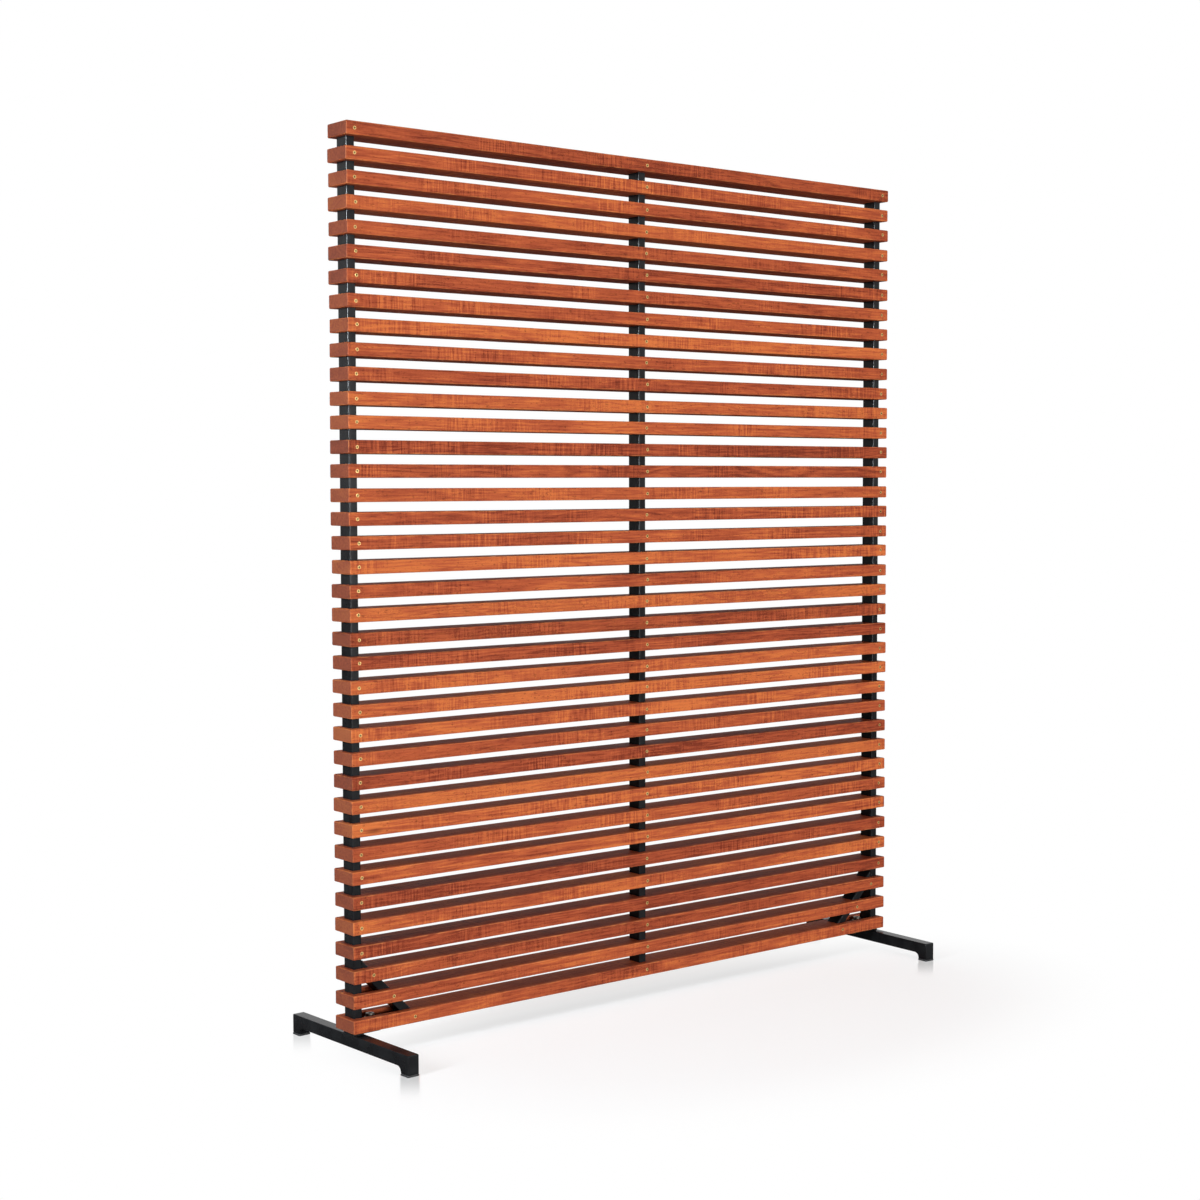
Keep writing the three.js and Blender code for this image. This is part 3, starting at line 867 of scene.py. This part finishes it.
def makeFootBolt(side):
    low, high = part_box("foot_bolt_" + side)
    centre = (low + high) / 2
    sides, head, chamfer = boltSet["sides"], boltSet["headRadius"], boltSet["chamfer"]
    shank, socket = boltSet["shankRadius"], polygon(boltSet["socketWidth"], 6, sides)
    seatZ = high.z - boltSet["headHeight"]
    rings = [
        lift(circle(shank - 0.8 * mm, sides), low.z),
        lift(circle(shank, sides), low.z + 0.8 * mm),
        lift(circle(shank, sides), seatZ),
        lift(circle(head - 0.4 * mm, sides), seatZ),
        lift(circle(head, sides), seatZ + 0.4 * mm),
        lift(circle(head, sides), high.z - chamfer),
        lift(circle(head - 0.3 * chamfer, sides), high.z - 0.3 * chamfer),
        lift(circle(head - chamfer, sides), high.z),
        lift([(1.06 * x, 1.06 * y) for x, y in socket], high.z),
        lift(socket, high.z - 0.3 * mm),
        lift(socket, high.z - boltSet["socketDepth"]),
    ]
    matrix = Matrix.Translation((centre.x, centre.y, 0))
    bolt = skinned(f"foot_bolt_{side}_screw", rings, boltSteel, matrix=matrix)
    settle(bolt, "panel", "bolt_steel", "foot_bolt_" + side)
def makeFootWasher(side):
    low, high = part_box("foot_washer_" + side)
    centre = (low + high) / 2
    ease, outer, bore = boltSet["washerEase"], (high.x - low.x) / 2, boltSet["holeRadius"]
    levels = (
        (bore, low.z), (outer - ease, low.z), (outer, low.z + ease), (outer, high.z - ease),
        (outer - ease, high.z), (bore + ease, high.z), (bore, high.z - ease),
    )
    rings = [lift(circle(radius, boltSet["sides"]), z) for radius, z in levels]
    matrix = Matrix.Translation((centre.x, centre.y, 0))
    washer = skinned(f"foot_washer_{side}_ring", rings, boltSteel, closed=True, matrix=matrix)
    settle(washer, "panel", "bolt_steel", "foot_washer_" + side)


footSet = {
    "length": 412 * mm,
    "width": 25.4 * mm,
    "barHeight": 25.4 * mm,
    "legLength": 25 * mm,
    "fillet": 12 * mm,
    "corner": 2.4 * mm,
    "ease": 1.1 * mm,
    "toeIn": 1.5,  # degrees
    "plateLength": 67.4 * mm,
    "plateWidth": 36 * mm,
    "plateCorner": 4 * mm,
    "plateEase": 0.5 * mm,
    "glideWidth": 26.8 * mm,
    "glideLength": 26.4 * mm,
    "glideHeight": 4 * mm,
    "stemRadius": 3.5 * mm,
    "stemClearance": 0.3 * mm,
    "drillPast": 5 * mm,
}


def arc(centreY, centreZ, radius, start, end, steps=6):
    turns = [math.radians(start + (end - start) * step / steps) for step in range(steps + 1)]
    return [(centreY + radius * math.cos(turn), centreZ + radius * math.sin(turn)) for turn in turns]


# the side view of a foot bar: a bar with a leg turned down at each end
def footOutline(height):
    end, under = footSet["length"] / 2, height - footSet["barHeight"]
    inner, fillet, corner = end - footSet["legLength"], min(footSet["fillet"], under), footSet["corner"]
    leg = [(inner, 0.0), (end, 0.0)] + arc(end - corner, height - corner, corner, 0, 90)
    hollow = arc(inner - fillet, under - fillet, fillet, 90, 0)[:-1]
    mirrored = [(-y, z) for y, z in reversed(hollow + leg)]
    return hollow + leg + mirrored


def makeGlide(side, where, place):
    low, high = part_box(f"glide_{side}_{where}")
    wide, long, stem = footSet["glideWidth"], footSet["glideLength"], footSet["stemRadius"]
    pad = low.z + footSet["glideHeight"]
    levels = [
        (2 * mm, 2 * mm, low.z),
        (0.5 * mm, 2 * mm, low.z + 0.3 * mm),
        (0.0, 2.2 * mm, low.z + 1 * mm),
        (0.0, 2.2 * mm, pad - 0.8 * mm),
        (0.5 * mm, 2 * mm, pad - 0.2 * mm),
        (1.4 * mm, 1.8 * mm, pad),
    ]
    rings = [lift(rounded(wide - inset, long - inset, radius), z) for inset, radius, z in levels]
    for radius, z in ((stem, pad), (stem, high.z - 0.8 * mm), (stem - 0.5 * mm, high.z)):
        rings.append(lift(rounded(2 * radius, 2 * radius, radius), z))
    glide = skinned(f"glide_{side}_{where}_pad", rings, blackPlastic, matrix=place)
    settle(glide, "foot_" + side, "black_plastic", f"glide_{side}_{where}")
    return high.z


def makeFootBar(side, place):
    low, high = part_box("foot_bar_" + side)
    half, spare = footSet["width"] / 2, footSet["stemClearance"]
    rings = [[Vector((x, y, low.z + z)) for y, z in footOutline(high.z - low.z)] for x in (-half, half)]
    bar = bevelled(skinned(f"foot_bar_{side}_steel", rings, blackSteel), footSet["ease"], angle=40.0)
    legY = (footSet["length"] - footSet["legLength"]) / 2
    for where, y in (("front", -legY), ("back", legY)):
        stemTop = makeGlide(side, where, place @ Matrix.Translation((0, y, 0)))
        ring = circle(footSet["stemRadius"] + spare, 24)
        hole = [lift(ring, low.z - footSet["drillPast"]), lift(ring, stemTop + spare)]
        cutBy(bar, skinned("stemHole", hole, matrix=Matrix.Translation((0, y, 0))))
    bar.data.transform(place)
    settle(bar, "foot_" + side, "frame_steel", "foot_bar_" + side)


def makeFootPlate(side, sign, place):
    low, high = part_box("foot_plate_" + side)
    outline = rounded(footSet["plateLength"], footSet["plateWidth"], footSet["plateCorner"], 8)
    inboard = -sign * (footSet["plateLength"] - footSet["width"]) / 2
    rings, matrix = [lift(outline, low.z), lift(outline, high.z)], place @ Matrix.Translation((inboard, 0, 0))
    plate = skinned(f"foot_plate_{side}_steel", rings, blackSteel, matrix=matrix)
    bevelled(plate, footSet["plateEase"], 2)
    drillForBolt(plate, side, low.z, high.z)
    settle(plate, "foot_" + side, "frame_steel", "foot_plate_" + side)


weldSet = {
    "radius": 1.7 * mm,
    "step": 1.3 * mm,
    "flatness": 0.62,
    "sizes": (0.85, 1.12),
    "standOff": 0.3 * mm,
    "onPlate": 11 * mm,  # half its length
    "onRail": 15 * mm,  # half its length
    "onPost": (14 * mm, 1 * mm),  # from the top of the brace down
    "seed": 7,
}


def weldTree():
    sockets = {"Radius": "Float", "Step": "Float", "Flatness": "Float", "Seed": "Int", "Material": "Material"}
    tree, given = newTree("weldBeads", sockets)
    line = addNode(tree, "GeometryNodeMeshToCurve", {"Mesh": given["Geometry"]}).outputs[0]
    stepped = {"Curve": line, "Length": given["Step"]}
    curve = addNode(tree, "GeometryNodeResampleCurve", stepped, mode="LENGTH").outputs[0]
    tangent = addNode(tree, "GeometryNodeInputTangent").outputs[0]
    turn = addNode(tree, "FunctionNodeAlignRotationToVector", {"Vector": tangent}, axis="X").outputs[0]
    grown = randomIn(tree, *weldSet["sizes"], given["Seed"])
    scale = triple(tree, calc(tree, "MULTIPLY", grown, given["Flatness"]), grown, grown)
    ballInputs = {"Segments": 10, "Rings": 6, "Radius": given["Radius"]}
    ball = addNode(tree, "GeometryNodeMeshUVSphere", ballInputs).outputs[0]
    copies = {"Points": curve, "Instance": ball, "Rotation": turn, "Scale": scale}
    endTree(tree, addNode(tree, "GeometryNodeInstanceOnPoints", copies).outputs[0], given["Material"])
    return tree


weldBeads = weldTree()


def makeWelds(name, body, lines):
    places = [end for line in lines for end in line]
    edges = [(2 * index, 2 * index + 1) for index in range(len(lines))]
    values = {
        "Radius": weldSet["radius"], "Step": weldSet["step"], "Flatness": weldSet["flatness"],
        "Seed": weldSet["seed"], "Material": blackSteel,
    }
    settle(grow(name, places, weldBeads, values, edges), body, "frame_steel")


def makeFootWelds(side, place):
    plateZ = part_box("foot_plate_" + side)[0].z
    edge, half = footSet["plateWidth"] / 2 + weldSet["standOff"], weldSet["onPlate"]
    lines = [[place @ Vector((x, y, plateZ)) for x in (-half, half)] for y in (-edge, edge)]
    makeWelds(f"welds_foot_{side}", "foot_" + side, lines)


def makePanelWelds():
    railTop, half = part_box("bottom_rail")[1].z, weldSet["onRail"]
    lines = []
    for sign in (-1, 1):
        for y in (postLow.y, postHigh.y):
            lines.append([Vector((sign * braceHigh.x, y, braceHigh.z - drop)) for drop in weldSet["onPost"]])
        for x in (braceHigh.x, braceLine(railTop) + braceHalfSpan):
            lines.append([Vector((sign * x, y, railTop)) for y in (-half, half)])
    makeWelds("welds_panel", "panel", lines)


for side, sign in (("left", -1), ("right", 1)):
    makeFootBolt(side)
    makeFootWasher(side)
    turnedIn = Matrix.Rotation(math.radians(-sign * footSet["toeIn"]), 4, "Z")
    footPlace = Matrix.Translation((sign * postX, 0, 0)) @ turnedIn
    makeFootBar(side, footPlace)
    makeFootPlate(side, sign, footPlace)
    makeFootWelds(side, footPlace)
makePanelWelds()
print("feet and welds made")

stageSet = {
    "radius": 40.0,
    "white": (1.0, 1.0, 1.0, 1.0),
    "glow": 0.61,  # of the floor near the screen, which takes faint shadows
    "shadeable": (0.50, 0.50, 0.50, 1.0),
    "unseen": (0.34, 0.34, 0.34, 1.0),  # what the screen gets back from the floor
    "shadeMiddle": (0.0, -0.28, 0.0),
    "shadeSpread": (1 / 1.05, 1 / 0.62, 0.0),
    "fadeFrom": 0.50,
    "fadeTo": 1.05,
    "mirrorShare": 0.50,  # right by the feet
    "mirrorLength": 0.18,
    "mirrorHalfWidth": 0.022,
    "mirrorRoughness": 0.06,
    "skyLight": 0.22,
}


# a strip of floor that runs from under a foot towards the camera and fades
def mirrorStrip(tree, place, spot):
    ahead = (Vector(cameraSet["place"]) - spot).xy.normalized()
    offset = vector(tree, "SUBTRACT", place, (spot.x, spot.y, 0.0))
    lines = ((ahead.x, ahead.y, 0.0), (ahead.y, -ahead.x, 0.0))
    along, aside = (
        addNode(tree, "ShaderNodeVectorMath", {0: offset, 1: line}, operation="DOT_PRODUCT").outputs["Value"]
        for line in lines
    )
    half = stageSet["mirrorHalfWidth"]
    narrow = remap(tree, calc(tree, "ABSOLUTE", aside), half, 0.7 * half)
    fading = remap(tree, along, stageSet["mirrorLength"], 0.0)
    inFront = calc(tree, "GREATER_THAN", along, -0.5 * half)
    return calc(tree, "MULTIPLY", calc(tree, "MULTIPLY", narrow, fading), inFront)


# what the camera sees: white, with a faint shadow under the screen and the feet mirrored where they stand
def floorLook(tree):
    white = stageSet["white"]
    place = addNode(tree, "ShaderNodeTexCoord").outputs["Object"]
    fromMiddle = vector(tree, "SUBTRACT", place, stageSet["shadeMiddle"])
    fromMiddle = vector(tree, "MULTIPLY", fromMiddle, stageSet["shadeSpread"])
    away = addNode(tree, "ShaderNodeVectorMath", {0: fromMiddle}, operation="LENGTH").outputs["Value"]
    byFoot = 0.0
    for foot in (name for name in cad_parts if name.startswith("glide_")):
        byFoot = calc(tree, "MAXIMUM", byFoot, mirrorStrip(tree, place, middle(foot)))
    byFoot = calc(tree, "MULTIPLY", byFoot, stageSet["mirrorShare"])
    far = remap(tree, away, stageSet["fadeFrom"], stageSet["fadeTo"])
    far = calc(tree, "MULTIPLY", far, calc(tree, "SUBTRACT", 1.0, byFoot))

    glow = addNode(tree, "ShaderNodeEmission", {0: white, 1: stageSet["glow"]}).outputs[0]
    shaded = addNode(tree, "ShaderNodeBsdfDiffuse", {0: stageSet["shadeable"]}).outputs[0]
    near = addNode(tree, "ShaderNodeAddShader", {0: glow, 1: shaded}).outputs[0]
    mirrorInputs = {"Color": white, "Roughness": stageSet["mirrorRoughness"]}
    mirror = addNode(tree, "ShaderNodeBsdfGlossy", mirrorInputs).outputs[0]
    near = addNode(tree, "ShaderNodeMixShader", {0: byFoot, 1: near, 2: mirror}).outputs[0]
    plain = addNode(tree, "ShaderNodeEmission", {0: white, 1: 1.0}).outputs[0]
    return addNode(tree, "ShaderNodeMixShader", {0: far, 1: near, 2: plain}).outputs[0]


def makeFloor():
    material, tree, shader = newMaterial("paleFloor", Specular_IOR_Level=0.0, Roughness=1.0)
    shader.inputs["Base Color"].default_value = stageSet["unseen"]
    seen = addNode(tree, "ShaderNodeLightPath").outputs["Is Camera Ray"]
    looks = {0: seen, 1: shader.outputs[0], 2: floorLook(tree)}
    mixed = addNode(tree, "ShaderNodeMixShader", looks).outputs[0]
    tree.links.new(mixed, tree.nodes["Material Output"].inputs["Surface"])
    mesh = bmesh.new()
    bmesh.ops.create_circle(mesh, cap_ends=True, radius=stageSet["radius"], segments=64)
    asPiece("floor", mesh, material)


# white to the camera and in what shines, dimmer as a light
def makeWorld():
    world = bpy.data.worlds.new("studio")
    bpy.context.scene.world = world
    world.use_nodes = True
    tree = world.node_tree
    background = tree.nodes["Background"]
    background.inputs["Color"].default_value = stageSet["white"]
    rays, sky = addNode(tree, "ShaderNodeLightPath").outputs, stageSet["skyLight"]
    bright = calc(tree, "ADD", rays["Is Glossy Ray"], rays["Is Camera Ray"])
    strength = calc(tree, "MULTIPLY_ADD", bright, 1.0 - sky, sky)
    tree.links.new(strength, background.inputs["Strength"])
    bpy.context.scene.view_settings.view_transform = "Standard"


neutral = (1.0, 1.0, 1.0)
cool = (0.88, 0.94, 1.0)
lightTarget = Vector((0, 0, 0.8))
lightSet = {
    "key": {"place": (0.6, -7.0, 1.0), "width": 4.0, "height": 1.6, "power": 500.0, "colour": neutral},
    "overhead": {"place": (0.0, -0.6, 4.2), "width": 3.0, "height": 3.0, "power": 15.0, "colour": neutral},
    "fill": {"place": (-3.8, -0.6, 1.6), "width": 0.5, "height": 1.6, "power": 95.0, "colour": cool},
    "rim": {"place": (-3.9, -0.9, 2.1), "width": 0.5, "height": 1.6, "power": 900.0, "colour": cool},
    "back": {"place": (1.5, 5.0, 1.0), "width": 3.0, "height": 1.6, "power": 70.0, "colour": neutral},
}


# the rim light only draws a bright line down the corners of the steel, and the back light isn't mirrored
def makeLights():
    for name, values in lightSet.items():
        light = bpy.data.lights.new(name, "AREA")
        light.shape = "RECTANGLE"
        light.size, light.size_y = values["width"], values["height"]
        light.energy = values["power"]
        light.color = values["colour"]
        lamp = bpy.data.objects.new(name, light)
        lamp.visible_diffuse = name != "rim"
        lamp.visible_glossy = name != "back"
        lamp.visible_camera = False
        lamp.location = values["place"]
        lamp.rotation_mode = "QUATERNION"
        lamp.rotation_quaternion = (lightTarget - Vector(values["place"])).to_track_quat("-Z", "Y")
        bpy.context.scene.collection.objects.link(lamp)


makeFloor()
makeWorld()
makeLights()
print("stage and lights made")
